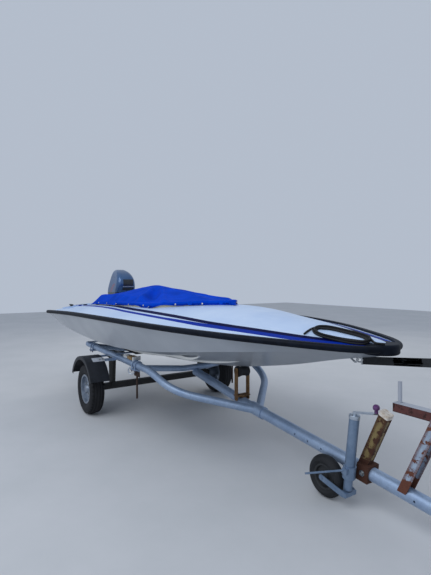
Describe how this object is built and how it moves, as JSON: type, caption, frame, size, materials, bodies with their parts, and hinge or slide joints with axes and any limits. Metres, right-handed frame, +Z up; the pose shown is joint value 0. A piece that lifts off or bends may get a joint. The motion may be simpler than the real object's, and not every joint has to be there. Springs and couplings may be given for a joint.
{
  "type": "speedboat on road trailer",
  "caption": "Small outboard speedboat under a canvas cockpit cover, carried on its single-axle road trailer and parked on the jockey wheel.",
  "frame": {"origin": "on the ground, midway between the stern and the tow coupling's nose, on the centre line", "axes": "+X towards the bow and the tow coupling, +Y to port, +Z up"},
  "size_m": [5.1624, 1.7798, 1.4979],
  "materials": {
    "galvanised_steel": "hot-dip galvanised, dull and weathered",
    "rusty_steel": "rusted through its old coating",
    "stainless": "polished stainless bar",
    "dark_timber": "carpeted timber, dark and damp",
    "cream_gelcoat": "gloss gelcoat",
    "blue_canvas": "coated woven canvas",
    "white_gelcoat": "gloss gelcoat, lightly weathered",
    "plum_plastic": "smooth moulded",
    "grey_plastic": "moulded",
    "solid_rubber": "matt",
    "dark_cast_metal": "satin dark paint on castings",
    "cowl_paint": "metallic dark steel-blue, gloss",
    "cast_block": "as cast",
    "black_plastic": "matt moulded",
    "black_rubber": "satin extruded",
    "black_rope": "braided, worn",
    "torn_rubber": "torn and perished",
    "tyre": "matt",
    "silver_rim": "silver paint",
    "dark_webbing": "woven webbing"
  },
  "bodies": {
    "boat_and_trailer": {"axle_beam": "galvanised_steel", "bow_eye": "stainless", "bow_stop_arm": "rusty_steel", "bunk_arms": "galvanised_steel", "bunk_left": "dark_timber", "bunk_right": "dark_timber", "cockpit_coaming": "cream_gelcoat", "cockpit_cover": "blue_canvas", "coupling_handle": "galvanised_steel", "coupling_head": "galvanised_steel", "deck": "white_gelcoat", "hull": "white_gelcoat", "jockey_clamp": "galvanised_steel", "jockey_crank": "galvanised_steel", "jockey_knob": "plum_plastic", "jockey_stem": "galvanised_steel", "keel_roller": "solid_rubber", "keel_roller_bracket": "galvanised_steel", "motor_clamp": "dark_cast_metal", "mudguard_left": "black_plastic", "mudguard_right": "black_plastic", "mudguard_stays_left": "galvanised_steel", "mudguard_stays_right": "galvanised_steel", "nose_cap": "black_rubber", "rope_coil": "black_rope", "rope_tail": "black_rope", "rub_rail_left": "black_rubber", "rub_rail_right": "black_rubber", "stern_cleats": "black_plastic", "stub_post": "rusty_steel", "stub_post_pad": "torn_rubber", "trailer_cross_tube_front": "galvanised_steel", "trailer_cross_tube_rear": "galvanised_steel", "trailer_drawbar": "galvanised_steel", "trailer_side_tube_left": "galvanised_steel", "trailer_side_tube_right": "galvanised_steel", "trailer_spine": "galvanised_steel", "trailer_vee_sleeve": "galvanised_steel", "tube_clamps": "rusty_steel", "winch_frame": "galvanised_steel", "winch_post": "galvanised_steel", "winch_strap": "dark_webbing"},
    "motor_tilt_body": {"motor_swivel_bracket": "dark_cast_metal"},
    "motor_steer_body": {"motor_cowl": "cowl_paint", "motor_powerhead": "cast_block", "motor_cowl_pan": "dark_cast_metal", "motor_leg": "dark_cast_metal", "motor_gearcase": "dark_cast_metal"},
    "propeller_body": {"propeller": "dark_cast_metal"},
    "wheel_left_body": {"tyre_left": "tyre", "wheel_rim_left": "silver_rim"},
    "wheel_right_body": {"tyre_right": "tyre", "wheel_rim_right": "silver_rim"},
    "jockey_slide_body": {"jockey_inner_tube": "galvanised_steel"},
    "jockey_fork_body": {"jockey_fork": "galvanised_steel"},
    "jockey_wheel_body": {"jockey_tyre": "solid_rubber", "jockey_rim": "grey_plastic"}
  },
  "joints": [
    {"name": "motor_tilt", "type": "hinge", "parent": "boat_and_trailer", "child": "motor_tilt_body", "pos_m": [-2.1011, 0, 0.984], "axis": [0, 1, 0], "range_deg": [0, 65]},
    {"name": "motor_steer", "type": "hinge", "parent": "motor_tilt_body", "child": "motor_steer_body", "pos_m": [-2.1961, 0, 0.93], "axis": [0, 0, 1], "range_deg": [-35, 35]},
    {"name": "propeller_spin", "type": "hinge", "parent": "motor_steer_body", "child": "propeller_body", "pos_m": [-2.4311, 0, 0.395], "axis": [1, 0, 0], "continuous": true},
    {"name": "wheel_left_spin", "type": "hinge", "parent": "boat_and_trailer", "child": "wheel_left_body", "pos_m": [-1.0811, 0.78, 0.25], "axis": [0, 1, 0], "continuous": true},
    {"name": "wheel_right_spin", "type": "hinge", "parent": "boat_and_trailer", "child": "wheel_right_body", "pos_m": [-1.0811, -0.78, 0.25], "axis": [0, 1, 0], "continuous": true},
    {"name": "jockey_slide", "type": "slide", "parent": "boat_and_trailer", "child": "jockey_slide_body", "axis": [0.1132, 0, 0.9936], "range_m": [-0.1, 0.06]},
    {"name": "jockey_swivel", "type": "hinge", "parent": "jockey_slide_body", "child": "jockey_fork_body", "pos_m": [1.6069, -0.098, 0.078], "axis": [0.1132, 0, 0.9936], "range_deg": [0, 25]},
    {"name": "jockey_wheel_spin", "type": "hinge", "parent": "jockey_fork_body", "child": "jockey_wheel_body", "pos_m": [1.4469, -0.098, 0.13], "axis": [0, 1, 0], "continuous": true}
  ]
}
